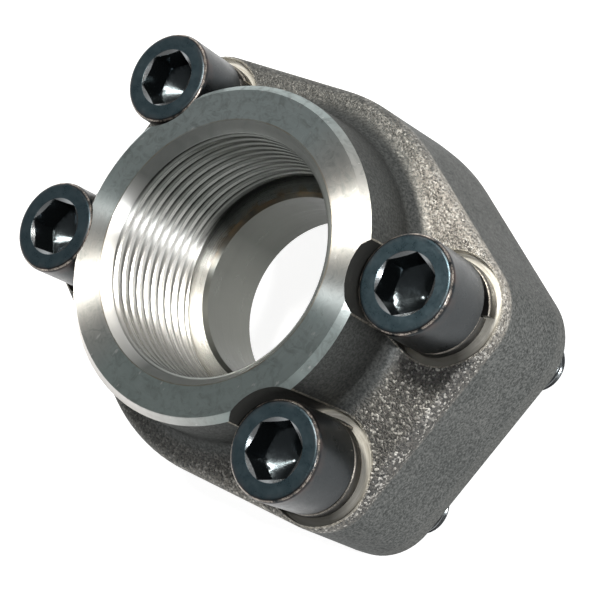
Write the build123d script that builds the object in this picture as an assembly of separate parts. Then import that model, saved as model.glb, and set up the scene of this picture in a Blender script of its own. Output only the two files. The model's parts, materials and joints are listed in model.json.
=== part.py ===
from build123d import *
from math import radians, tan
import os

# Square four-bolt flange fitting with a threaded port, millimetres.
# Origin: centre of the mating face. +Z runs out of the threaded port,
# X along the long bolt spacing, Y along the short one.

# Bolt pattern
LONG_SPACING = 69.9
SHORT_SPACING = 35.7

# Forged base
BASE_LENGTH = 94.0
BASE_WIDTH = 79.0
BASE_TOP = 26.0
TRIM_BAND = 4.0          # straight band left by the die trim, above the mating face
DRAFT_ANGLE = 2.5        # die draft of the base wall
TOP_EDGE_ROUND = 2.0
FACE_CHAMFER = 0.5

# Round neck
HEIGHT = 43.0
RING_RADIUS = 31.6       # turned end of the neck
RING_CHAMFER = 1.2
NECK_DRAFT = 2.0
NECK_FILLET = 4.0

# Threaded port, a 55 degree parallel pipe thread, right hand
THREAD_MAJOR_RADIUS = 23.90
THREAD_PITCH = 2.309
THREAD_ANGLE = 55.0
THREAD_DEPTH = 1.20      # a hole drilled near its upper limit leaves the crests broad and flat
THREAD_ROOT = 0.16       # flat at the bottom of the groove
THREAD_START = 94.0      # where the groove leaves the relief, degrees from +X
THREAD_END = 17.0        # height of the relief's upper edge
RELIEF_WIDTH = 0.8
RELIEF_DEPTH = 0.15      # below the bottom of the groove
MOUTH_RADIUS = 24.6
TURNING_STOCK = 3.0      # forged metal above the ring, turned off after the thread is cut

# Flow bore
BORE_RADIUS = 19.05
BORE_EDGE = 0.8          # chamfer where the shoulder meets the bore

# Screws, loose in the base
SCREW_DIAMETER = 12.0
THREAD_CREST = 11.68     # across the crests of the threaded free end
SCREW_LENGTH = 45.0
HEAD_DIAMETER = 18.0
HEAD_HEIGHT = 12.0
HEAD_ROUND = 1.0
SOCKET_FLATS = 10.0
SOCKET_DEPTH = 6.0
TIP_CHAMFER = 1.0
HOLE_CLEARANCE = 0.75    # radial gap between a shank and its hole
SEAT_CLEARANCE = 1.5     # radial gap between a head and its counterbore
SEAT_FLOOR = 24.0

# Split spring washers, uncompressed
WASHER_THICKNESS = 2.5
WASHER_WIDTH = 2.9
WASHER_RISE = 2.8        # how far the sprung end stands up
WASHER_SPLIT = 5.0       # angle of the open gap, degrees
WASHER_CLEARANCE = 0.15  # radial gap between washer and shank

# Face seal
SEAL_CORD = 3.53
SEAL_INSIDE = 47.22
SEAL_CLEARANCE = 0.02
GROOVE_DEPTH = 2.8
GROOVE_WIDTH = 4.78

# One entry per screw: name, sides of the pattern, turn of the socket, angle of the washer's split
SEATS = [
    ("a", -1, 1, 45.0, 70.0),
    ("b", -1, -1, 20.0, 200.0),
    ("c", 1, 1, 49.0, 28.0),
    ("d", 1, -1, 41.0, 95.0),
]

shank_radius = SCREW_DIAMETER / 2
head_radius = HEAD_DIAMETER / 2
hole_radius = shank_radius + HOLE_CLEARANCE
seat_radius = head_radius + SEAT_CLEARANCE
head_underside = SEAT_FLOOR + WASHER_THICKNESS + WASHER_RISE
thread_minor_radius = THREAD_MAJOR_RADIUS - THREAD_DEPTH
relief_radius = THREAD_MAJOR_RADIUS + RELIEF_DEPTH
shoulder = THREAD_END - RELIEF_WIDTH
groove_outer = SEAL_INSIDE / 2 + SEAL_CORD + SEAL_CLEARANCE
groove_inner = groove_outer - GROOVE_WIDTH
seal_radius = SEAL_INSIDE / 2 + SEAL_CORD / 2


def seat_points(height):
    return [Pos(sx * LONG_SPACING / 2, sy * SHORT_SPACING / 2, height) for _, sx, sy, _, _ in SEATS]


def revolved(points):
    """Solid of revolution about Z from a closed (radius, height) outline."""
    outline = [(r, 0, z) for r, z in points]
    face = make_face(Polyline(*outline, close=True))
    return revolve(face, Axis.Z)


def base_outline(height, inset):
    """Taut outline round the middle boss and the four bolt corners, drawn in by an inset."""
    corner = (BASE_LENGTH - LONG_SPACING) / 2 - inset
    rings = [Pos(p.position.X, p.position.Y) * Edge.make_circle(corner) for p in seat_points(0)]
    rings.append(Edge.make_circle(BASE_WIDTH / 2 - inset))
    return Pos(0, 0, height) * make_hull(rings)


def thread_groove():
    """V groove swept up a right-hand helix, from the relief to above the turned ring."""
    flank = tan(radians(THREAD_ANGLE / 2))
    overlap = 0.2
    middle = THREAD_DEPTH / 2
    inside = -middle - overlap
    root_half = THREAD_ROOT / 2
    mouth_half = root_half + THREAD_DEPTH * flank
    open_half = mouth_half + overlap * flank
    outline = [(inside, -open_half), (middle, -root_half), (middle, root_half), (inside, open_half)]
    first = shoulder + mouth_half
    climb = HEIGHT + TURNING_STOCK / 3 - first
    path = Edge.make_helix(THREAD_PITCH, climb, thread_minor_radius + middle)
    across = Plane(origin=path @ 0, x_dir=(1, 0, 0), z_dir=(0, -1, 0))
    section = across * make_face(Polyline(*outline, close=True))
    return Pos(0, 0, first) * Rot(0, 0, THREAD_START) * sweep(section, path=path, is_frenet=True)


def flange_body():
    """One forging: drafted base, round neck blended into it, then every machined cut."""
    draft = (BASE_TOP - TRIM_BAND) * tan(radians(DRAFT_ANGLE))
    band = extrude(base_outline(0, 0), amount=TRIM_BAND)
    wall = loft([base_outline(TRIM_BAND, 0), base_outline(BASE_TOP, draft)], ruled=True)
    base = band + wall
    top_edges = base.faces().sort_by(Axis.Z)[-1].edges()
    base = fillet(top_edges, TOP_EDGE_ROUND)

    spread = (HEIGHT - BASE_TOP) * tan(radians(NECK_DRAFT))
    stock_top = HEIGHT + TURNING_STOCK
    neck = revolved([
        (0, BASE_TOP / 2),
        (RING_RADIUS + spread, BASE_TOP / 2),
        (RING_RADIUS + spread, BASE_TOP),
        (RING_RADIUS - TURNING_STOCK * tan(radians(NECK_DRAFT)), stock_top),
        (0, stock_top),
    ])
    blank = base + neck
    root = blank.edges().filter_by(GeomType.CIRCLE).filter_by(
        lambda e: abs(e.radius - RING_RADIUS - spread) < 0.01 and abs(e.center().Z - BASE_TOP) < 0.01)
    blank = fillet(root, NECK_FILLET)

    face_edge = blank.edges().group_by(Axis.Z)[0]
    blank = chamfer(face_edge, FACE_CHAMFER)

    port = revolved([
        (0, -1),
        (BORE_RADIUS, -1),
        (BORE_RADIUS, shoulder - BORE_EDGE),
        (BORE_RADIUS + BORE_EDGE, shoulder),
        (relief_radius, shoulder),
        (relief_radius, THREAD_END),
        (thread_minor_radius, THREAD_END),
        (thread_minor_radius, stock_top + 1),
        (0, stock_top + 1),
    ])
    blank = blank - port - thread_groove()

    mouth_depth = MOUTH_RADIUS - thread_minor_radius + 1
    turned_off = revolved([
        (0, HEIGHT - mouth_depth),
        (MOUTH_RADIUS - mouth_depth, HEIGHT - mouth_depth),
        (MOUTH_RADIUS, HEIGHT),
        (RING_RADIUS - RING_CHAMFER, HEIGHT),
        (RING_RADIUS + 1, HEIGHT - RING_CHAMFER - 1),
        (RING_RADIUS + 1, stock_top + 1),
        (0, stock_top + 1),
    ])
    blank -= turned_off

    for seat in seat_points(0):
        at = Pos(seat.position.X, seat.position.Y)
        blank -= at * Pos(0, 0, SEAT_FLOOR) * extrude(Circle(seat_radius), amount=HEIGHT)
        blank -= at * Pos(0, 0, -1) * extrude(Circle(hole_radius), amount=HEIGHT)

    groove = extrude(Circle(groove_outer) - Circle(groove_inner), amount=GROOVE_DEPTH)
    return blank - groove


def cap_screw(socket_turn):
    """Socket head screw, head's underside at height zero, threaded where it stands out of the mating face."""
    head = extrude(Circle(head_radius), amount=HEAD_HEIGHT)
    head = fillet(head.edges().group_by(Axis.Z)[-1], HEAD_ROUND)
    shank = extrude(Circle(shank_radius), amount=-head_underside)
    free_length = SCREW_LENGTH - head_underside
    free_end = Pos(0, 0, -SCREW_LENGTH) * extrude(Circle(THREAD_CREST / 2), amount=free_length)
    free_end = chamfer(free_end.edges().group_by(Axis.Z)[0], TIP_CHAMFER)
    hexagon = RegularPolygon(SOCKET_FLATS / 2, 6, major_radius=False, rotation=socket_turn)
    socket = Pos(0, 0, HEAD_HEIGHT - SOCKET_DEPTH) * extrude(hexagon, amount=SOCKET_DEPTH)
    drill_point = Pos(0, 0, HEAD_HEIGHT - SOCKET_DEPTH) * Rot(180, 0, 0) * Cone(
        SOCKET_FLATS / 2, 0, SOCKET_FLATS / 4, align=(Align.CENTER, Align.CENTER, Align.MIN))
    return head + shank + free_end - socket - drill_point


def lock_washer(split_angle):
    """Split ring cut from a square-section coil: the low end on the floor, the high end under the head."""
    inner = shank_radius + WASHER_CLEARANCE
    middle = inner + WASHER_WIDTH / 2
    sweep_angle = 360.0 - WASHER_SPLIT
    pitch = WASHER_RISE * 360.0 / sweep_angle
    path = Edge.make_helix(pitch, WASHER_RISE, middle, lefthand=True)
    section = Plane(origin=path @ 0, x_dir=(1, 0, 0), z_dir=(0, -1, 0)) * Rectangle(
        WASHER_WIDTH, WASHER_THICKNESS)
    coil = sweep(section, path=path, is_frenet=True)
    return Pos(0, 0, WASHER_THICKNESS / 2) * Rot(0, 0, split_angle - WASHER_SPLIT / 2) * coil


def face_seal():
    """Round-cord ring seated on the floor and the outer wall of its groove."""
    return Pos(0, 0, GROOVE_DEPTH - SEAL_CORD / 2) * Torus(seal_radius, SEAL_CORD / 2)


os.makedirs("parts", exist_ok=True)
nodes = {"flange_body": flange_body(), "face_seal": face_seal()}
for name, sx, sy, socket_turn, split_angle in SEATS:
    at = Pos(sx * LONG_SPACING / 2, sy * SHORT_SPACING / 2, 0)
    nodes["cap_screw_" + name] = at * Pos(0, 0, head_underside) * cap_screw(socket_turn)
    nodes["lock_washer_" + name] = at * Pos(0, 0, SEAT_FLOOR) * lock_washer(split_angle)

for name, shape in nodes.items():
    shape.label = name
    export_step(shape, "parts/" + name + ".step")
    box = shape.bounding_box()
    print(name, len(shape.solids()), "solid(s)", round(shape.volume, 1), "mm3",
          [round(v, 2) for v in (*box.min, *box.max)])
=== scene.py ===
# %% [markdown]
# A hydraulic flange fitting is a steel forging with a threaded port, held to a pump or valve by
# four cap screws on spring washers. The frame below loads the fitting's exact solids. Everything
# after it gives them the threads, edges and finishes of the real part, in metres and in the same
# place, so a piece never has to be fitted by eye.

# %% Load the fixed frame
import json
from functools import reduce
from math import cos, hypot, radians, sin, tan
import bmesh
import bpy
from mathutils import Euler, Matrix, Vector
from mathutils.bvhtree import BVHTree


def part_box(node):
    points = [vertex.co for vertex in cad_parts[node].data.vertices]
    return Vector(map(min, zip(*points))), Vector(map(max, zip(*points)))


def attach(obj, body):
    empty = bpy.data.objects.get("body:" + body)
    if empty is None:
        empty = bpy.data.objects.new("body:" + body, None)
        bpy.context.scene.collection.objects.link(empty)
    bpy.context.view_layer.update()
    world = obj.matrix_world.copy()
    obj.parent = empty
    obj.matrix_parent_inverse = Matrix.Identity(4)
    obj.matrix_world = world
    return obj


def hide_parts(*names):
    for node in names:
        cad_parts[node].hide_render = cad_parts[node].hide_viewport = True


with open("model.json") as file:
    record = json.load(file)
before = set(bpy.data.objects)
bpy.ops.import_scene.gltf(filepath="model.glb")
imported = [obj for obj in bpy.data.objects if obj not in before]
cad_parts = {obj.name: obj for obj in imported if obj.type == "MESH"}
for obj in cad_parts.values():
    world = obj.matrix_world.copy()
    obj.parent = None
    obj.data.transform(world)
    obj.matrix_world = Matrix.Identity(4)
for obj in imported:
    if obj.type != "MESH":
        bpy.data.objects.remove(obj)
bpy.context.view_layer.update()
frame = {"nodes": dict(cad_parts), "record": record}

MM = 0.001
print("solids", sorted(frame["nodes"]))

# %% [markdown]
# Sizes come from the imported record and from the solids' own boxes, so a changed solid carries
# the dressed piece with it. Only what neither of them states, such as a screw's pitch, is given
# further down. The fitting's sizes are in millimetres here, and MM turns them into metres where
# they meet an object. The camera, the floor and the lamps are set in metres.

# %% Sizes taken from the frame
mounts = {mount["name"]: mount["dims"] for mount in frame["record"]["mounts"]}
HALF_LONG = mounts["stud_pattern"]["spacing_x_mm"] / 2
HALF_SHORT = mounts["stud_pattern"]["spacing_y_mm"] / 2
CREST_RADIUS = mounts["port_thread"]["r_mm"]
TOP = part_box("flange_body")[1].z / MM
SCREW_TIP, SCREW_TOP = (corner.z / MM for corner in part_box("cap_screw_a"))
SEAT_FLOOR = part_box("lock_washer_a")[0].z / MM
AXES = {"a": (-1, 1), "b": (-1, -1), "c": (1, 1), "d": (1, -1)}
print("bolt axes at", HALF_LONG, HALF_SHORT, "thread crests at", CREST_RADIUS)
print("ring face at", TOP, "washers from", SEAT_FLOOR, "screws from", SCREW_TIP, "to", SCREW_TOP)

# %% [markdown]
# Node trees are wordy to build one socket at a time. One small helper makes a node, fills its
# inputs with numbers or with other nodes' outputs, and returns it. It serves materials and
# Geometry Nodes alike.

# %% A helper for node trees
class Tree:
    """Builds a node tree: add() makes a node, math() and its like return the output socket."""

    def __init__(self, tree):
        self.tree = tree

    def fill(self, socket, value):
        """Links another node's output to an input, or sets the input to a value."""
        if isinstance(value, bpy.types.NodeSocket):
            self.tree.links.new(value, socket)
        else:
            socket.default_value = (*value, 1) if socket.type == "RGBA" else value

    def add(self, kind, inputs=None, **settings):
        node = self.tree.nodes.new(kind)
        for name, value in settings.items():
            setattr(node, name, value)
        for key, value in (inputs or {}).items():
            self.fill(node.inputs[key], value)
        return node

    def math(self, operation, *values):
        inputs = dict(enumerate(values))
        return self.add("ShaderNodeMath", inputs, operation=operation).outputs[0]

    def vector(self, operation, *values):
        inputs = dict(enumerate(values))
        return self.add("ShaderNodeVectorMath", inputs, operation=operation).outputs[0]

    def plus(self, *terms):
        return reduce(lambda first, second: self.math("ADD", first, second), terms)

    def minus(self, first, second):
        return self.math("SUBTRACT", first, second)

    def times(self, *factors):
        return reduce(lambda first, second: self.math("MULTIPLY", first, second), factors)

    def over(self, first, second):
        return self.math("DIVIDE", first, second)

    def map(self, value, low, high, to_low=0.0, to_high=1.0, interpolation="LINEAR"):
        inputs = {0: value, 1: low, 2: high, 3: to_low, 4: to_high}
        return self.add("ShaderNodeMapRange", inputs, interpolation_type=interpolation).outputs[0]

    def combine(self, x, y, z):
        return self.add("ShaderNodeCombineXYZ", {0: x, 1: y, 2: z}).outputs[0]

    def split(self, vector):
        return self.add("ShaderNodeSeparateXYZ", {0: vector}).outputs


# %% [markdown]
# Steel finishes are read from where a point lies on the part. Three measures serve nearly all of
# them: the distance from the port's axis, the distance from the nearest screw's axis, and the
# height. Object coordinates give them in metres, and here they are turned into millimetres, so
# that a grain of 0.4 is a grain of 0.4 mm. The four screws stand symmetrically, so folding x and
# y over to one side gives every screw the same local radius. A fourth measure is the direction
# from an axis, because painted light and shade, and fluid stains, favour one side.

# %% Measures of a point on the part
class Measured(Tree):
    """One material, which knows where each point lies, in millimetres."""

    def __init__(self, name, shading):
        self.material = bpy.data.materials.new(name)
        self.material.use_nodes = True
        self.material.node_tree.nodes.clear()
        super().__init__(self.material.node_tree)
        self.surface = self.add("ShaderNodeBsdfPrincipled", {"Metallic": 1.0, **shading})
        self.add("ShaderNodeOutputMaterial", {0: self.surface.outputs[0]})
        place = self.add("ShaderNodeTexCoord").outputs["Object"]
        self.place = self.vector("MULTIPLY", place, (1 / MM, 1 / MM, 1 / MM))
        self.x, self.y, self.z = self.split(self.place)
        self.port_radius = self.length(self.x, self.y)
        self.fold_x = self.minus(self.math("ABSOLUTE", self.x), HALF_LONG)
        self.fold_y = self.minus(self.math("ABSOLUTE", self.y), HALF_SHORT)
        self.screw_radius = self.length(self.fold_x, self.fold_y)

    def length(self, x, y):
        return self.math("SQRT", self.plus(self.times(x, x), self.times(y, y)))

    def facing(self, degrees, x, y, radius):
        """1 on the side of an axis that faces this direction, -1 on the far side."""
        along_x = self.times(x, cos(radians(degrees)))
        along_y = self.times(y, sin(radians(degrees)))
        return self.over(self.plus(along_x, along_y), radius)

    def toward(self, degrees):
        """The same about the port's axis."""
        return self.facing(degrees, self.x, self.y, self.port_radius)

    def window(self, value, low, high, soft):
        """1 between low and high, fading to 0 over a soft margin at both ends."""
        rising = self.map(value, low - soft, low, 0, 1, "SMOOTHSTEP")
        falling = self.map(value, high, high + soft, 1, 0, "SMOOTHSTEP")
        return self.times(rising, falling)


# %% [markdown]
# All metals are built from a few textures. Cloudy noise gives stains and grain, scattered cells
# give lumps, and noise squeezed into rings gives tool lines. Colours are laid over one another
# like coats of paint, each through a mask, and every finish ends in a relief of real height.
# Turned metal also needs a direction: its grooves run round the axis, and they spread each
# highlight at right angles to themselves. In the functions below, f is the finish being made.

# %% Textures that the finishes share
class Finish(Measured):
    """A material with textures. Sizes and heights are millimetres."""

    def noise(self, size, detail=2.0, roughness=0.5, where=None, distortion=0.0):
        """Cloudy noise with lumps about this size across."""
        return self.add("ShaderNodeTexNoise", {
            "Vector": where or self.place, "Scale": 1 / size, "Detail": detail,
            "Roughness": roughness, "Distortion": distortion}).outputs["Fac"]

    def cells(self, size):
        """Distance from the nearest of scattered points, and a random value for its cell."""
        node = self.add("ShaderNodeTexVoronoi", {"Vector": self.place, "Scale": 1 / size})
        return node.outputs["Distance"], self.split(node.outputs["Color"])[0]

    def turning(self, x, y, radius, pitch, streak):
        """Fine tool lines round an axis, broken up slowly along their length."""
        climb = 0.77  # height counts too, so that the lines also cross walls and cones
        across = self.plus(radius, self.times(self.z, climb))
        round_x = self.times(self.over(x, radius), streak)
        round_y = self.times(self.over(y, radius), streak)
        where = self.combine(self.over(across, pitch), round_x, round_y)
        return self.noise(1.0, 3.0, 0.6, where=where)

    def blend(self, amount, first, second):
        """Colour mix: first where amount is 0, second where it is 1."""
        inputs = {0: amount, 6: first, 7: second}
        return self.add("ShaderNodeMix", inputs, data_type="RGBA").outputs[2]

    def coats(self, color, *coats):
        """Lays coats over a colour. Each is a mask and its own colour."""
        for mask, coat in coats:
            color = self.blend(mask, color, coat)
        return color

    def brushed(self, x, y):
        """Lets highlights fan out across tool lines that run round an axis."""
        around = self.combine(self.times(y, -1), x, 0)
        normal = self.add("ShaderNodeNewGeometry").outputs["Normal"]
        across = self.vector("NORMALIZE", self.vector("CROSS_PRODUCT", normal, around))
        self.fill(self.surface.inputs["Tangent"], across)

    def done(self, color, roughness, height):
        """Connects the surface, with the height as its relief."""
        bump = self.add("ShaderNodeBump", {"Strength": 1.0, "Distance": MM, "Height": height})
        self.fill(self.surface.inputs["Base Color"], color)
        self.fill(self.surface.inputs["Roughness"], roughness)
        self.fill(self.surface.inputs["Normal"], bump.outputs[0])
        print("finish", self.material.name, len(self.tree.nodes), "nodes")
        return self.material


# %% [markdown]
# The outside of the forging keeps the skin that shot blasting leaves: dull grey steel with a fine
# pitted grain. On the top of the base the dies wore rough, so the grain there is coarser, and its
# lumps carry painted glints and sparkles in their colour. A displaced mesh would need millions of
# faces for grains of a third of a millimetre, so the relief is bump, at the size of the real
# grain. Noise and a scatter of lumps give it, and a slow noise moves the colour about in soft
# patches. One side of the base top is painted brighter as a highlight and another is painted
# darker as shade, the foot of the neck is painted darker as shade, and the mouth of each
# counterbore has a bright line that is partly wear and partly a painted edge highlight. A blasted
# surface hardly brightens at a grazing angle, so the tint that rules its edge reflection is set
# dark.

# %% Forging skin
BASE_TOP = 26.0
TRIM_BAND = 4.0
BLEND_RADIUS = 36.0
SEAT_RADIUS = 10.5


def skin_color(f, on_top, in_band, patches, fine, coarse, facets):
    # Painted shade: the foot of the neck is painted darker, where it stands in shade.
    painted_neck_shade = f.times(f.map(f.port_radius, BLEND_RADIUS + 2, BLEND_RADIUS - 1),
                      f.map(f.z, BASE_TOP - 2, BASE_TOP + 1))
    # Painted highlights: coarse lumps on the base top are painted lighter as glints.
    painted_glint = f.times(on_top, f.map(coarse, 0.42, 0.58, 0.05, 0.9))
    # Painted highlight: one side of the base top is painted brighter.
    painted_bright_side = f.times(on_top, f.map(f.toward(47), 0.88, 0.98, 0, 0.45))
    # Painted shade: another side of the base top is painted darker.
    painted_shade_side = f.times(on_top, f.map(f.toward(-4), 0.86, 0.96, 0, 0.62))
    # Painted highlights: scattered cells on the base top are painted near white as sparkles.
    painted_sparkle = f.times(on_top, f.map(facets, 0.76, 0.98, 0, 0.65))
    pit = f.times(on_top, f.map(facets, 0.24, 0.08, 0, 0.55))
    # Partly wear and partly painted highlight: a bright line round the mouth of each counterbore.
    worn_rim_and_painted_highlight = f.window(f.screw_radius, SEAT_RADIUS - 0.1, SEAT_RADIUS + 0.22, 0.1)
    return f.coats(
        f.blend(patches, (0.122, 0.130, 0.128), (0.170, 0.174, 0.169)),
        (f.map(fine, 0.36, 0.58, 0.75, 0), (0.035, 0.038, 0.037)),
        (f.map(fine, 0.56, 0.72, 0, 0.5), (0.24, 0.24, 0.23)),
        (f.times(painted_neck_shade, 0.45), (0.045, 0.047, 0.045)),
        (f.times(in_band, 0.2), (0.2, 0.2, 0.19)),
        (painted_glint, (0.34, 0.32, 0.285)),
        (f.times(painted_bright_side, f.map(coarse, 0.40, 0.54, 0.3, 1.0)), (0.66, 0.61, 0.54)),
        (painted_shade_side, (0.07, 0.07, 0.07)),
        (painted_sparkle, (0.76, 0.74, 0.69)),
        (pit, (0.03, 0.03, 0.03)),
        (f.times(worn_rim_and_painted_highlight, f.map(fine, 0.35, 0.6, 0.2, 0.9)), (0.42, 0.39, 0.33)))


def forging_skin():
    f = Finish("forging_skin", {"Metallic": 0.9, "Specular Tint": (0.45, 0.45, 0.45)})
    on_top = f.times(f.window(f.z, BASE_TOP - 2.4, BASE_TOP + 2.5, 1.2),
                     f.map(f.port_radius, BLEND_RADIUS - 2.5, BLEND_RADIUS + 0.5),
                     f.map(f.toward(5), 0.0, 0.6, 0.35, 1))
    in_band = f.window(f.z, 0.0, TRIM_BAND - 0.1, 0.4)
    patches = f.noise(9.0, 3.0, 0.55)
    fine = f.noise(0.48, 3.0, 0.65)
    coarse = f.noise(0.40, 3.0, 0.7)
    lumps, facets = f.cells(0.38)
    scratches = f.noise(0.5, 2.0, 0.5, where=f.vector("MULTIPLY", f.place, (0.22, 0.22, 1.6)))

    color = skin_color(f, on_top, in_band, patches, fine, coarse, facets)
    roughness = f.map(f.plus(patches, fine), 0.7, 1.3, 0.56, 0.44)
    roughness = f.minus(roughness, f.times(on_top, 0.1))
    grain = f.plus(f.times(coarse, 0.22), f.times(lumps, -0.10))
    height = f.plus(f.times(fine, 0.055), f.times(grain, f.map(on_top, 0, 1, 0.12, 1.0)),
                    f.times(scratches, in_band, 0.03))
    return f.done(color, roughness, height)


# %% [markdown]
# The end of the neck is turned on a lathe. Tool lines run round it in rings finer than the eye
# can count, and what the eye does see is how they spread a highlight: two bright fan shapes across
# the ring, opposite each other. The anisotropy of the shader does the spreading and has to know
# which way the lines run, and the same two fan shapes are also painted into the colour as painted
# highlights. The ring is painted lighter towards one side as painted light, and one side of the
# outer chamfer is painted near white as a painted highlight. A few rings are deeper than the rest,
# and handling leaves short scratches and faint oil stains.

# %% Turned ring, mouth and chamfers
MOUTH_RADIUS = 24.6
CHAMFER_RADIUS = 30.4


def turned_steel():
    f = Finish("turned_steel", {"Anisotropic": 1.0})
    lines = f.turning(f.x, f.y, f.port_radius, 0.16, 1.2)
    rings = f.turning(f.x, f.y, f.port_radius, 0.7, 0.6)
    stains = f.noise(4.5, 4.0, 0.6, distortion=0.6)
    smudges = f.noise(2.4, 4.0, 0.7, distortion=1.2)
    nicks = f.noise(0.9, 2.0, 0.5, where=f.vector("MULTIPLY", f.place, (1.0, 0.35, 1.0)))
    at_mouth = f.window(f.port_radius, MOUTH_RADIUS - 0.05, MOUTH_RADIUS + 0.15, 0.15)
    # Painted highlight: one side of the outer chamfer is painted near white.
    painted_chamfer_highlight = f.times(f.map(f.port_radius, CHAMFER_RADIUS - 0.1, CHAMFER_RADIUS + 0.1),
                         f.map(f.toward(245), 0.2, 0.8))
    # Painted highlights: two opposite sectors of the ring are painted lighter and warmer.
    painted_fans = f.map(f.math("ABSOLUTE", f.toward(47)), 0.78, 0.96)
    # Painted light: the ring is painted lighter towards one side and darker towards the other.
    painted_light_side = f.map(f.toward(95), -0.8, 0.8)

    color = f.coats(
        f.blend(stains,
                f.blend(painted_light_side, (0.38, 0.46, 0.44), (0.52, 0.61, 0.60)),
                f.blend(painted_light_side, (0.50, 0.58, 0.56), (0.64, 0.72, 0.71))),
        (painted_fans, f.blend(stains, (0.50, 0.49, 0.46), (0.66, 0.64, 0.61))),
        (f.map(smudges, 0.48, 0.70, 0, 0.6), (0.22, 0.24, 0.23)),
        (f.map(rings, 0.3, 0.75, 0.3, 0), (0.33, 0.37, 0.36)),
        (f.map(nicks, 0.68, 0.74, 0, 0.5), (0.9, 0.9, 0.88)),
        (f.times(at_mouth, f.map(stains, 0.3, 0.7, 0.8, 0.2)), (0.34, 0.27, 0.18)),
        (painted_chamfer_highlight, (1.0, 0.97, 0.93)))
    roughness = f.map(f.plus(lines, smudges), 0.7, 1.4, 0.32, 0.44)
    f.brushed(f.x, f.y)
    return f.done(color, roughness, f.plus(f.times(lines, 0.003), f.times(rings, 0.005)))


# %% [markdown]
# The thread was cut in the same set-up, so its flanks carry the same rings. The bottom of the
# grooves is painted dark as shade. How deep a point lies in a groove is its distance from the
# axis, from the crests at the drilled size to the roots behind them. The groove walls are painted
# lighter than the crests as painted light, and one side of the port is painted near white as a
# painted highlight. The step below the thread holds a brown stain where fluid has stood.

# %% Port thread
PORT_STEP = 16.2
CONE_FOOT = TOP - 1.9


def thread_steel():
    f = Finish("thread_steel", {"Anisotropic": 0.9})
    lines = f.turning(f.x, f.y, f.port_radius, 0.12, 1.5)
    stains = f.noise(3.2, 4.0, 0.6, distortion=0.8)
    above_step = f.map(f.z, PORT_STEP + 0.2, PORT_STEP + 1.0)
    in_turns = f.minus(above_step, f.map(f.z, CONE_FOOT - 0.05, CONE_FOOT + 0.15))
    depth = f.minus(f.port_radius, CREST_RADIUS)
    in_groove = f.times(f.map(depth, 0.1, 1.1), above_step)
    # Painted light: the groove walls are painted lighter than the crests.
    painted_lit_flanks = f.times(f.map(depth, 0.02, 0.15), in_turns)
    # Painted shade: the bottom of each groove is painted dark.
    painted_root_shade = f.times(f.map(depth, 0.3, 0.6), in_turns)
    # Painted highlight: one side of the port is painted near white.
    painted_port_highlight = f.map(f.toward(228), 0.62, 0.92)
    on_step = f.times(f.map(depth, -1.1, -2.7), f.map(f.z, PORT_STEP + 0.8, PORT_STEP + 0.2),
                      f.map(f.toward(135), 0.1, 0.75))

    color = f.coats(
        f.blend(stains, (0.20, 0.215, 0.205), (0.29, 0.30, 0.285)),
        (painted_lit_flanks, f.blend(stains, (0.50, 0.53, 0.50), (0.68, 0.70, 0.66))),
        (painted_port_highlight, f.blend(stains, (0.93, 0.92, 0.87), (1.0, 0.99, 0.96))),
        (f.times(painted_root_shade, f.map(painted_port_highlight, 0, 1, 0.92, 0.35)), (0.045, 0.047, 0.042)),
        (f.times(on_step, f.map(stains, 0.42, 0.6, 0, 0.8)), (0.21, 0.15, 0.09)))
    roughness = f.map(f.plus(lines, in_groove), 0.4, 1.5, 0.27, 0.40)
    f.brushed(f.x, f.y)
    return f.done(color, roughness, f.times(lines, 0.005))


# %% [markdown]
# The plain bore below the thread was drilled and reamed. It is smoother, with faint rings, and
# its upper edge shares the brown stain of the step. Its wall is painted lighter on one side as a
# highlight.

# %% Bore
def bored_steel():
    f = Finish("bored_steel", {"Anisotropic": 0.7})
    lines = f.turning(f.x, f.y, f.port_radius, 0.35, 0.8)
    stains = f.noise(5.0, 3.0, 0.55)
    at_edge = f.times(f.map(f.z, PORT_STEP - 1.0, PORT_STEP - 0.3),
                      f.map(f.toward(135), 0.1, 0.75))
    color = f.coats(
        f.blend(stains, (0.07, 0.076, 0.068), (0.105, 0.108, 0.10)),
        # Painted highlight: the wall on one side is painted lighter.
        (f.map(f.toward(232), 0.55, 0.95, 0, 0.8), (0.22, 0.225, 0.205)),
        (f.times(at_edge, f.map(stains, 0.4, 0.6, 0.1, 0.8)), (0.24, 0.17, 0.10)))
    roughness = f.map(f.plus(lines, stains), 0.7, 1.3, 0.26, 0.4)
    f.brushed(f.x, f.y)
    return f.done(color, roughness, f.times(lines, 0.004))


# %% [markdown]
# Each screw sits in a spot face, cut with a flat tool that leaves open arcs and bright bare
# steel. The arcs are wide enough to see, so they go into the relief and the colour as well. One
# side of each face is painted dark as the head's shadow, and the counterbore wall is painted dark
# as shade. The folded measures mirror three of the four screws, so the sign of x and y unfolds
# them before the side is looked up.

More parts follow.
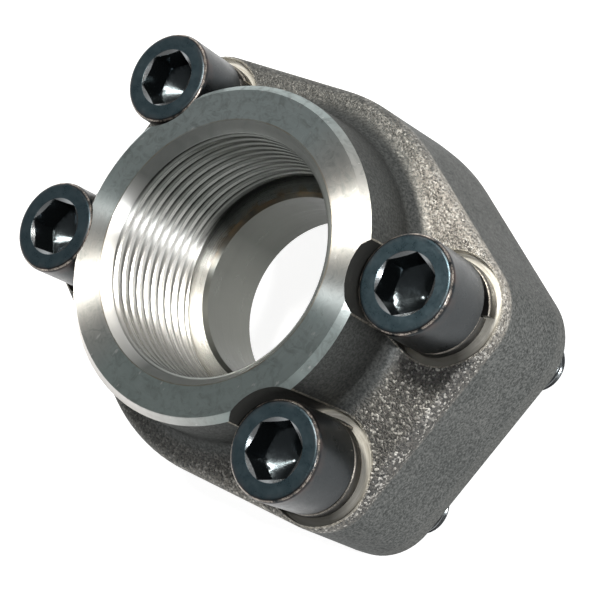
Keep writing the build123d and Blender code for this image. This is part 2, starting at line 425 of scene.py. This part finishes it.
# %% Spot faces
def spot_faced_steel():
    f = Finish("spot_faced_steel", {"Metallic": 0.4, "Anisotropic": 0.5})
    arcs = f.turning(f.fold_x, f.fold_y, f.screw_radius, 0.33, 1.6)
    stains = f.noise(2.6, 3.0, 0.6)
    side_x = f.times(f.fold_x, f.math("SIGN", f.x))
    side_y = f.times(f.fold_y, f.math("SIGN", f.y))
    # Painted shadow: the side of each spot face where the head's shadow falls is painted dark.
    painted_head_shadow = f.map(f.facing(-75, side_x, side_y, f.screw_radius), 0.3, 0.8, 0, 0.88)
    # Painted shade: the counterbore wall is painted dark.
    painted_wall_shade = f.map(f.z, SEAT_FLOOR + 0.3, SEAT_FLOOR + 2.4, 0, 0.95)
    color = f.coats(
        f.blend(f.map(arcs, 0.35, 0.68), (0.72, 0.68, 0.58), (1.0, 0.97, 0.88)),
        (f.map(stains, 0.5, 0.75, 0, 0.45), (0.40, 0.37, 0.30)),
        (painted_head_shadow, (0.085, 0.082, 0.070)),
        (painted_wall_shade, (0.045, 0.048, 0.047)))
    roughness = f.map(f.plus(arcs, stains), 0.7, 1.4, 0.3, 0.46)
    f.brushed(f.fold_x, f.fold_y)
    return f.done(color, roughness, f.times(arcs, 0.03))


# %% [markdown]
# The mating face and its seal groove are faced flat, because the seal has to bear on them. The
# rings are open enough to see from below.

# %% Mating face and seal groove
def faced_steel():
    f = Finish("faced_steel", {"Anisotropic": 0.6})
    lines = f.turning(f.x, f.y, f.port_radius, 0.4, 0.8)
    stains = f.noise(6.0, 4.0, 0.6)
    color = f.blend(stains, (0.44, 0.44, 0.42), (0.60, 0.595, 0.57))
    roughness = f.map(f.plus(lines, stains), 0.7, 1.3, 0.26, 0.42)
    f.brushed(f.x, f.y)
    return f.done(color, roughness, f.times(lines, 0.008))


# %% [markdown]
# The screws are black oxide over steel: nearly black, satin, a little blue on the flat face,
# which is also painted lighter as light from above. The coat is thin, so handling wears it through
# along the rounded edge of the head, first to brown and then to bare steel, and that bright line
# is also a painted highlight. Masks by the depth below the head's face and by the distance from
# the screw's axis find that edge, and noise breaks the line. The cone at the bottom of each socket
# is painted light grey as a reflection. The threads were rolled before the coat went on, and it
# looks greyer there.

# %% Black oxide
HEAD_RADIUS = 9.0
SOCKET_CORNER = 5.8
THREAD_TOP = 3.0


def black_oxide():
    f = Finish("black_oxide", {"Metallic": 0.9})
    patches = f.noise(2.4, 3.0, 0.6)
    fine = f.noise(0.22, 2.0, 0.5)
    depth = f.minus(SCREW_TOP, f.z)
    # Partly real tint and partly painted light: the flat face is bluer and painted lighter.
    blue_face_and_painted_light = f.map(depth, 0.12, 0.02)
    in_socket = f.times(f.map(f.screw_radius, SOCKET_CORNER + 0.05, SOCKET_CORNER - 0.05),
                        f.map(depth, 0.02, 0.1))
    # Painted reflection: the cone at the bottom of the socket is painted light grey.
    painted_cone_reflection = f.times(in_socket, f.map(depth, 0.56, 0.5))
    near_edge = f.times(f.map(f.screw_radius, HEAD_RADIUS - 1.6, HEAD_RADIUS - 0.1),
                        f.map(depth, 3.0, 0.4))
    # Partly wear and partly painted highlight: a bright line along the rounded edge of the head.
    worn_edge_and_painted_highlight = f.times(f.window(f.screw_radius, HEAD_RADIUS - 0.4, HEAD_RADIUS - 0.22, 0.1),
                      f.window(depth, 0.22, 0.42, 0.08))
    on_thread = f.map(f.z, THREAD_TOP, THREAD_TOP - 2)

    color = f.coats(
        f.blend(patches, (0.016, 0.021, 0.024), (0.034, 0.038, 0.041)),
        (blue_face_and_painted_light, f.blend(patches, (0.036, 0.068, 0.084), (0.078, 0.108, 0.124))),
        (in_socket, (0.05, 0.06, 0.065)),
        (painted_cone_reflection, (0.34, 0.36, 0.37)),
        (f.times(near_edge, f.map(patches, 0.4, 0.7, 0, 0.5)), (0.10, 0.06, 0.05)),
        (f.times(worn_edge_and_painted_highlight, f.map(patches, 0.36, 0.6), f.map(fine, 0.35, 0.55)), (0.62, 0.55, 0.48)),
        (f.times(on_thread, f.map(patches, 0.35, 0.65, 0.35, 0.85)), (0.24, 0.255, 0.26)))
    shine = f.times(f.math("MAXIMUM", in_socket, on_thread), 0.15)
    roughness = f.minus(f.map(f.plus(patches, fine), 0.75, 1.3, 0.27, 0.42), shine)
    return f.done(color, roughness, f.plus(f.times(fine, 0.006), f.times(patches, 0.02)))


# %% [markdown]
# A spring washer is coiled from a bar, hardened and phosphated. It is brown-black and dull, with
# its outer corners worn bright, a line that is partly wear and partly a painted highlight.

# %% Spring steel
WASHER_RADIUS = 9.05


def spring_steel():
    f = Finish("spring_steel", {"Metallic": 0.85})
    patches = f.noise(1.8, 3.0, 0.6)
    fine = f.noise(0.2, 2.0, 0.5)
    # Partly wear and partly painted highlight: a bright line along the outer corners.
    worn_rim_and_painted_highlight = f.window(f.screw_radius, WASHER_RADIUS - 0.33, WASHER_RADIUS - 0.13, 0.08)
    color = f.coats(
        f.blend(patches, (0.036, 0.036, 0.035), (0.075, 0.071, 0.065)),
        (f.times(worn_rim_and_painted_highlight, f.map(fine, 0.35, 0.6, 0.1, 0.8)), (0.48, 0.44, 0.38)))
    return f.done(color, f.map(patches, 0.3, 0.7, 0.3, 0.45), f.times(fine, 0.008))


# %% [markdown]
# The seal is a moulded nitrile ring. Rubber is not metal: a dark, even colour under a soft shine,
# with a faint orange-peel surface.

# %% Seal rubber
def seal_rubber():
    f = Finish("seal_rubber", {"Metallic": 0.0})
    peel = f.noise(0.35, 2.0, 0.5)
    color = f.blend(f.noise(3.0), (0.014, 0.014, 0.014), (0.026, 0.026, 0.025))
    return f.done(color, f.map(peel, 0.3, 0.7, 0.42, 0.58), f.times(peel, 0.01))


# %% [markdown]
# Each finish is made once. The forging wears six of them and looks them up by name.

# %% Make the finishes
FORGING = {
    "skin": forging_skin(), "ring": turned_steel(), "thread": thread_steel(),
    "bore": bored_steel(), "spot face": spot_faced_steel(), "mating face": faced_steel()}
OXIDE, SPRING, RUBBER = black_oxide(), spring_steel(), seal_rubber()
print("finishes on the forging", list(FORGING))

# %% [markdown]
# Threads and washers grow from Geometry Nodes trees. Each tree has named inputs, one for every
# size, and ends by turning its shape into a plain painted mesh. Here t is the tree being made,
# and given holds its inputs.

# %% The start and the end of a tree
def new_tree(name, **inputs):
    group = bpy.data.node_groups.new(name, "GeometryNodeTree")
    for kind, names in inputs.items():
        for socket in names:
            group.interface.new_socket(socket, in_out="INPUT", socket_type="NodeSocket" + kind)
    group.interface.new_socket("Geometry", in_out="OUTPUT", socket_type="NodeSocketGeometry")
    t = Tree(group)
    return group, t, t.add("NodeGroupInput").outputs


def end_tree(t, geometry, material):
    solid = t.add("GeometryNodeRealizeInstances", {"Geometry": geometry})
    painted = t.add("GeometryNodeSetMaterial", {
        "Geometry": solid.outputs[0], "Material": material})
    t.add("NodeGroupOutput", {0: painted.outputs[0]})


# %% [markdown]
# The screws carry threads. A thread could be one ring of teeth after another, but a real one is a
# single helix, and the eye sees the difference where it starts and runs out. Here it is a grid
# wrapped round an axis by Geometry Nodes: one direction of the grid goes round, the other climbs,
# and each row of points follows the helix, so that crest and root stay clean lines. The radius
# swells and shrinks once in each pitch. Closed at both ends, the rod works as a tool: what it
# shares with a plain screw is a screw with a threaded free end. Above the thread the rod widens
# into a collar, which leaves the shank and the head as they are.

# %% The threaded rod, as a tree
def helix_heights(t, given, row, turn):
    """Height of each point on its row, held between the ends, and its place in the pitch."""
    climbed = t.plus(t.over(t.minus(row, 1), given["Rows in a pitch"]), turn)
    height = t.math("MULTIPLY_ADD", t.minus(climbed, 1), given["Pitch"], given["Bottom"])
    height = t.math("MINIMUM", t.math("MAXIMUM", height, given["Bottom"]), given["Top"])
    phase = t.over(t.minus(height, given["Bottom"]), given["Pitch"])
    return height, t.math("FRACT", t.minus(phase, turn))


def threaded_rod_tree():
    group, t, given = new_tree(
        "threaded_rod",
        Float=("Pitch", "Root radius", "Crest radius", "Bottom", "Top", "Collar radius",
               "Collar top"),
        Int=("Helix rows", "Rows in a pitch", "Points round"),
        Vector=("Centre",), Material=("Material",))
    rows = t.plus(given["Helix rows"], 4)
    grid = t.add("GeometryNodeMeshGrid", {
        "Size X": 1, "Size Y": 1, "Vertices X": t.plus(given["Points round"], 1),
        "Vertices Y": rows})
    x, y, _ = t.split(t.add("GeometryNodeInputPosition").outputs[0])
    turn = t.plus(x, 0.5)
    last = t.minus(rows, 1)
    row = t.math("ROUND", t.times(t.plus(y, 0.5), last))

    height, phase = helix_heights(t, given, row, turn)
    ridge = t.times(t.math("ABSOLUTE", t.minus(phase, 0.5)), 2)
    radius = t.map(ridge, 0, 1, given["Root radius"], given["Crest radius"], "SMOOTHSTEP")
    past_thread = t.math("GREATER_THAN", row, t.plus(given["Helix rows"], 0.5))
    at_collar_top = t.math("GREATER_THAN", row, t.plus(given["Helix rows"], 1.5))
    at_pole = t.plus(t.math("LESS_THAN", row, 0.5),
                     t.math("GREATER_THAN", row, t.minus(last, 0.5)))
    radius = t.map(past_thread, 0, 1, radius, given["Collar radius"])
    radius = t.map(at_pole, 0, 1, radius, 0.0)
    height = t.map(at_collar_top, 0, 1, height, given["Collar top"])

    angle = t.times(turn, radians(360))
    place = t.combine(t.times(radius, t.math("COSINE", angle)),
                      t.times(radius, t.math("SINE", angle)), height)
    place = t.vector("ADD", place, given["Centre"])
    shaped = t.add("GeometryNodeSetPosition", {"Geometry": grid.outputs[0], "Position": place})
    closed = t.add("GeometryNodeMergeByDistance", {
        "Geometry": shaped.outputs[0], "Distance": 1e-6})
    end_tree(t, closed.outputs[0], given["Material"])
    return group


# %% [markdown]
# A spring washer is a bar coiled once and cut off, so it is a profile swept along a spiral. A
# real one turns clockwise as it climbs, which is left-handed, so it bites when a right-handed
# screw tries to back out. The solid does too. The spiral below turns anticlockwise, which is
# wrong: it needs Reverse set to False. The profile is a rectangle with rounded corners, and the
# rounding is what draws the thin bright line seen along the rim of a real washer.

# %% The spring washer, as a tree
def coil_washer_tree():
    group, t, given = new_tree(
        "coil_washer",
        Float=("Mean radius", "Width", "Thickness", "Rise", "Open angle", "Corner", "Start angle"),
        Vector=("Centre",), Material=("Material",))
    turns = t.minus(1, t.over(given["Open angle"], radians(360)))
    coil = t.add("GeometryNodeCurveSpiral", {
        "Resolution": 120, "Rotations": turns, "Start Radius": given["Mean radius"],
        "End Radius": given["Mean radius"], "Height": given["Rise"], "Reverse": True})
    upright = t.add("GeometryNodeSetCurveNormal", {"Curve": coil.outputs[0]}, mode="Z_UP")
    bar = t.add("GeometryNodeCurvePrimitiveQuadrilateral", {
        "Width": given["Width"], "Height": given["Thickness"]})
    rounded = t.add("GeometryNodeFilletCurve", {
        "Curve": bar.outputs[0], "Radius": given["Corner"], "Count": 4}, mode="POLY")
    swept = t.add("GeometryNodeCurveToMesh", {
        "Curve": upright.outputs[0], "Profile Curve": rounded.outputs[0], "Fill Caps": True})
    turned = t.add("GeometryNodeTransform", {
        "Geometry": swept.outputs[0], "Translation": given["Centre"],
        "Rotation": t.combine(0, 0, given["Start angle"])})
    joined = t.add("GeometryNodeMergeByDistance", {
        "Geometry": turned.outputs[0], "Distance": 1e-7})
    end_tree(t, joined.outputs[0], given["Material"])
    return group


# %% [markdown]
# A tree becomes a plain mesh here: an empty object carries it as a modifier, its inputs are set
# before the first evaluation, and the result replaces the object's mesh.

# %% Growing a mesh from a tree
def in_scene(name, data):
    """A new object in the scene, with this mesh, camera or lamp as its data."""
    new_object = bpy.data.objects.new(name, data)
    bpy.context.scene.collection.objects.link(new_object)
    return new_object


def grown(tree, name, values):
    piece = in_scene(name, bpy.data.meshes.new(name))
    modifier = piece.modifiers.new("grow", "NODES")
    modifier.node_group = tree
    for item in tree.interface.items_tree:
        if item.in_out == "INPUT":
            modifier[item.identifier] = values[item.name]
    evaluated = piece.evaluated_get(bpy.context.evaluated_depsgraph_get())
    mesh = bpy.data.meshes.new_from_object(evaluated)
    piece.modifiers.clear()
    piece.data = mesh
    mesh.name = name
    return piece


# %% [markdown]
# A solid from the frame is a heap of loose triangles. A copy is merged into one skin before
# anything is cut from it. Cutting uses the manifold solver, which is exact and quick on closed
# skins. It can leave slivers a thousandth of a millimetre wide, which are merged away.

# %% Copies of solids, and cutting
WELD = 1e-7
SLIVER = 2e-6


def merged_copy(node, name, *materials):
    source = bmesh.new()
    source.from_mesh(frame["nodes"][node].data)
    bmesh.ops.remove_doubles(source, verts=source.verts, dist=WELD)
    points = [v.co.copy() for v in source.verts]
    faces = [[v.index for v in f.verts] for f in source.faces]
    source.free()
    mesh = bpy.data.meshes.new(name)
    mesh.from_pydata(points, [], faces)
    for material in materials:
        mesh.materials.append(material)
    return in_scene(name, mesh)


def applied(piece):
    """Turns a piece's modifiers into its mesh."""
    depsgraph = bpy.context.evaluated_depsgraph_get()
    mesh = bpy.data.meshes.new_from_object(
        piece.evaluated_get(depsgraph), preserve_all_data_layers=True, depsgraph=depsgraph)
    piece.modifiers.clear()
    piece.data = mesh


def cut(piece, tool, operation):
    modifier = piece.modifiers.new("cut", "BOOLEAN")
    modifier.operation = operation
    modifier.solver = "MANIFOLD"
    modifier.object = tool
    applied(piece)
    bpy.data.objects.remove(tool)
    skin = bmesh.new()
    skin.from_mesh(piece.data)
    bmesh.ops.remove_doubles(skin, verts=skin.verts, dist=SLIVER)
    bmesh.ops.dissolve_degenerate(skin, edges=skin.edges, dist=SLIVER)
    skin.to_mesh(piece.data)
    skin.free()


# %% [markdown]
# Flat faces next to rounded edges shade wrongly when every corner's normal is averaged, so the
# weighted normal modifier lets the large faces decide. Each finished piece then rides on the
# part's one body and stands in for its solid.

# %% Shading and handing over a piece
def shade(piece, sharp_degrees=30):
    piece.data.shade_smooth()
    piece.data.set_sharp_from_angle(angle=radians(sharp_degrees))
    modifier = piece.modifiers.new("normals", "WEIGHTED_NORMAL")
    modifier.keep_sharp = True
    applied(piece)


def finish_piece(piece, slot, *nodes):
    shade(piece)
    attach(piece, "root")
    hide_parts(*nodes)
    print(piece.name, len(piece.data.polygons), "faces")


# %% [markdown]
# The forging is one piece with several finishes, and a finish ends where a tool stopped cutting.
# Those borders lie at fixed radii and heights, so each face picks its material from where its
# centre lies. Each border is drawn a hair outside the cut that it closes.

# %% The forging
BORE_BORDER = 19.9
HOLE_BORDER = 6.9
GROOVE_BORDER = 27.4
GROOVE_TOP = 3.0
RING_FOOT = TOP - 1.3
HAIR = 0.1
ON_A_FACE = 0.01


def finish_at(x, y, z):
    """Name of the finish at a place on the forging."""
    radius = hypot(x, y)
    at_screw = hypot(abs(x) - HALF_LONG, abs(y) - HALF_SHORT)
    in_seat = at_screw < SEAT_RADIUS + HAIR and z > SEAT_FLOOR - HAIR
    if radius < BORE_BORDER and z < PORT_STEP + HAIR:
        return "bore"
    if radius < MOUTH_RADIUS + HAIR and PORT_STEP - HAIR < z < TOP - ON_A_FACE:
        return "thread"
    if in_seat or at_screw < HOLE_BORDER:
        return "spot face"
    if z > RING_FOOT:
        return "ring"
    if z < ON_A_FACE or (radius < GROOVE_BORDER and z < GROOVE_TOP):
        return "mating face"
    return "skin"


body = merged_copy("flange_body", "flange_body_dressed", *FORGING.values())
order = list(FORGING)
counts = dict.fromkeys(order, 0)
for face in body.data.polygons:
    finish = finish_at(*(value / MM for value in face.center))
    face.material_index = order.index(finish)
    counts[finish] += 1
print("faces of each finish", counts)
finish_piece(body, "forged_steel", "flange_body")

# %% [markdown]
# The mouth of each hexagon socket is broken by a shallow cone, which leaves a bright sickle on
# each flat. The cone is a tool as well. It stands a little above the head, so that it cuts
# through the face cleanly.

# %% The cone at a socket's mouth
SOCKET_MOUTH = 5.74
SOCKET_SLOPE = tan(radians(35))
PROUD = 0.5


def socket_countersink(x, y):
    """A wide flat cone that breaks the hexagon's edge where the key goes in."""
    depth = SOCKET_MOUTH * SOCKET_SLOPE + PROUD
    middle = SCREW_TOP + PROUD - depth / 2
    cone = bmesh.new()
    bmesh.ops.create_cone(cone, cap_ends=True, segments=96, radius1=0, depth=depth * MM,
                          radius2=depth / SOCKET_SLOPE * MM)
    bmesh.ops.remove_doubles(cone, verts=cone.verts, dist=WELD)
    bmesh.ops.translate(cone, verts=cone.verts, vec=(x * MM, y * MM, middle * MM))
    mesh = bpy.data.meshes.new("countersink")
    cone.to_mesh(mesh)
    cone.free()
    return in_scene("countersink", mesh)


print("cone", SOCKET_MOUTH, "mm in radius at the face")

# %% [markdown]
# Four screws, made from one tree and one set of sizes: an M12 coarse thread, with the root of the
# groove 0.9 mm below the crest. The rod's own crests reach just past the plain screw, so the
# intersection leaves a narrow flat on each turn, as rolled threads have.

# %% The screws
ROD = threaded_rod_tree()
SCREW_PITCH = 1.75
ROOT_RADIUS = 4.93
ROD_CREST = 5.9
COLLAR_RADIUS = 12
ROWS_IN_A_PITCH = 16
POINTS_ROUND = 72
THREAD_BOTTOM = SCREW_TIP - 1
TURNS = 2 + int((THREAD_TOP - THREAD_BOTTOM) / SCREW_PITCH)
for letter, (side_x, side_y) in AXES.items():
    x, y = side_x * HALF_LONG, side_y * HALF_SHORT
    node = "cap_screw_" + letter
    screw = merged_copy(node, node + "_dressed", OXIDE)
    rod = grown(ROD, "rod", {
        "Pitch": SCREW_PITCH * MM, "Root radius": ROOT_RADIUS * MM, "Crest radius": ROD_CREST * MM,
        "Bottom": THREAD_BOTTOM * MM, "Top": THREAD_TOP * MM, "Collar radius": COLLAR_RADIUS * MM,
        "Collar top": (SCREW_TOP + 2) * MM, "Helix rows": 1 + ROWS_IN_A_PITCH * TURNS,
        "Rows in a pitch": ROWS_IN_A_PITCH, "Points round": POINTS_ROUND,
        "Centre": (x * MM, y * MM, 0), "Material": OXIDE})
    cut(screw, rod, "INTERSECT")
    cut(screw, socket_countersink(x, y), "DIFFERENCE")
    finish_piece(screw, "black_steel", node)

# %% [markdown]
# Each washer was dropped on with its split at a different angle, so the angles are listed. How far
# the swept washer stands from its solid is printed. The rounding of its corners alone would leave
# 0.13 mm. The 2.6 mm printed here come from the spiral, which turns the wrong way.

# %% The washers
WASHER = coil_washer_tree()
WASHER_WIDTH = 2.9
WASHER_THICKNESS = 2.5
SPLITS = {"a": 70.0, "b": 200.0, "c": 28.0, "d": 95.0}
OPEN_ANGLE = 5.0
for letter, (side_x, side_y) in AXES.items():
    x, y, z = side_x * HALF_LONG, side_y * HALF_SHORT, SEAT_FLOOR + WASHER_THICKNESS / 2
    node = "lock_washer_" + letter
    washer = grown(WASHER, node + "_dressed", {
        "Mean radius": (WASHER_RADIUS - WASHER_WIDTH / 2) * MM, "Width": WASHER_WIDTH * MM,
        "Thickness": WASHER_THICKNESS * MM, "Rise": 2.8 * MM, "Corner": 0.45 * MM,
        "Open angle": radians(OPEN_ANGLE), "Start angle": radians(SPLITS[letter] - OPEN_ANGLE / 2),
        "Centre": (x * MM, y * MM, z * MM), "Material": SPRING})
    solid = frame["nodes"][node].data
    tree = BVHTree.FromPolygons([v.co for v in solid.vertices],
                                [p.vertices for p in solid.polygons])
    gaps = [tree.find_nearest(v.co)[3] / MM for v in washer.data.vertices]
    print(node, "stands off its solid by at most", round(max(gaps), 3), "mm")
    finish_piece(washer, "washer_steel", node)

# %% [markdown]
# The seal needs nothing but its finish. Its solid is a plain torus already, so it stays in the
# scene as it is.

# %% The seal
seal = frame["nodes"]["face_seal"].data
seal.materials[0] = RUBBER
print("face_seal keeps its", len(seal.polygons), "faces")

# %% [markdown]
# The camera stands where the photograph was taken: above the port, a little to one side, and
# rolled over, so the fitting lies across the picture. A small shift slides the picture without
# turning the camera.

# %% Camera
camera_data = bpy.data.cameras.new("camera")
camera_data.lens = 102.56
camera_data.shift_x = -0.0419
camera_data.shift_y = -0.0208
camera = in_scene("camera", camera_data)
camera.location = (0.18200, 0.03972, 0.27791)
camera.rotation_euler = Euler((radians(18.412), radians(29.853), radians(44.815)))
bpy.context.scene.camera = camera
print("camera", round(camera.location.length, 3), "m from the mating face")

# %% [markdown]
# The floor is white paper. To the camera and in reflections it is plain white, and to the lamps
# it is a pale matt sheet that takes the fitting's shadow.

# %% Floor
def any_ray(t, *kinds):
    """1 for the kinds of ray named here, 0 for the rest."""
    rays = t.add("ShaderNodeLightPath").outputs
    return reduce(lambda first, second: t.math("MAXIMUM", first, second),
                  [rays[kind] for kind in kinds])


REACH = 3.0
PAPER_GLOW = 0.8
PAPER_COLOR = (0.6, 0.6, 0.6)
corners = [(-REACH, -REACH), (REACH, -REACH), (REACH, REACH), (-REACH, REACH)]
floor_mesh = bpy.data.meshes.new("floor")
floor_mesh.from_pydata([(x, y, SCREW_TIP * MM) for x, y in corners], [], [(0, 1, 2, 3)])
floor = in_scene("floor", floor_mesh)

paper = bpy.data.materials.new("paper")
paper.use_nodes = True
paper.node_tree.nodes.clear()
t = Tree(paper.node_tree)
seen = any_ray(t, "Is Camera Ray", "Is Glossy Ray", "Is Transmission Ray")
white = t.add("ShaderNodeEmission", {"Color": (1, 1, 1), "Strength": t.times(seen, PAPER_GLOW)})
matt = t.add("ShaderNodeBsdfDiffuse", {"Color": PAPER_COLOR})
both = t.add("ShaderNodeAddShader", {0: white.outputs[0], 1: matt.outputs[0]})
t.add("ShaderNodeOutputMaterial", {0: both.outputs[0]})
floor_mesh.materials.append(paper)
print("floor at", SCREW_TIP, "mm, under the screws' tips")

# %% [markdown]
# The room is white to the camera, so that the background stays clean. In the steel it reads as
# soft grey, brighter near the horizon, which is what gives turned metal its darks, and the matt
# surfaces get a dim even light from it.

# %% World
ROOM_LIGHT = 0.35
HORIZON, OVERHEAD = 1.0, 0.2
world = bpy.data.worlds.new("studio")
bpy.context.scene.world = world
world.use_nodes = True
world.node_tree.nodes.clear()
t = Tree(world.node_tree)
_, _, up = t.split(t.add("ShaderNodeTexCoord").outputs["Generated"])
mirrored = t.map(up, 0.1, 0.65, HORIZON, OVERHEAD, "SMOOTHSTEP")
strength = t.map(any_ray(t, "Is Glossy Ray"), 0, 1, ROOM_LIGHT, mirrored)
strength = t.math("MAXIMUM", strength, any_ray(t, "Is Camera Ray", "Is Transmission Ray"))
sky = t.add("ShaderNodeBackground", {"Color": (1, 1, 1), "Strength": strength})
t.add("ShaderNodeOutputWorld", {0: sky.outputs[0]})
print("world", len(world.node_tree.nodes), "nodes")

# %% [markdown]
# Two lamps: a broad soft key, high and to the side, and a small hard one close to the camera.
# The small one draws the narrow streak down the thread and the thin lines along the edges.

# %% Lamps
def lamp(name, direction, distance, size, watts, color):
    data = bpy.data.lights.new(name, "AREA")
    data.color = color
    data.shape = "DISK"
    data.size = size
    data.energy = watts
    light = in_scene(name, data)
    toward = Vector(direction).normalized()
    light.location = toward * distance
    light.rotation_euler = toward.to_track_quat("Z", "Y").to_euler()
    print(name, watts, "W at", tuple(round(v, 2) for v in light.location))


lamp("key", (-0.1, 0.36, 0.93), 0.5, 0.12, 2.0, (1.0, 0.97, 0.91))
lamp("fill", (0.6, 0.25, 0.76), 0.6, 0.025, 1.3, (0.97, 0.98, 1.0))
bpy.context.scene.view_settings.view_transform = "Standard"
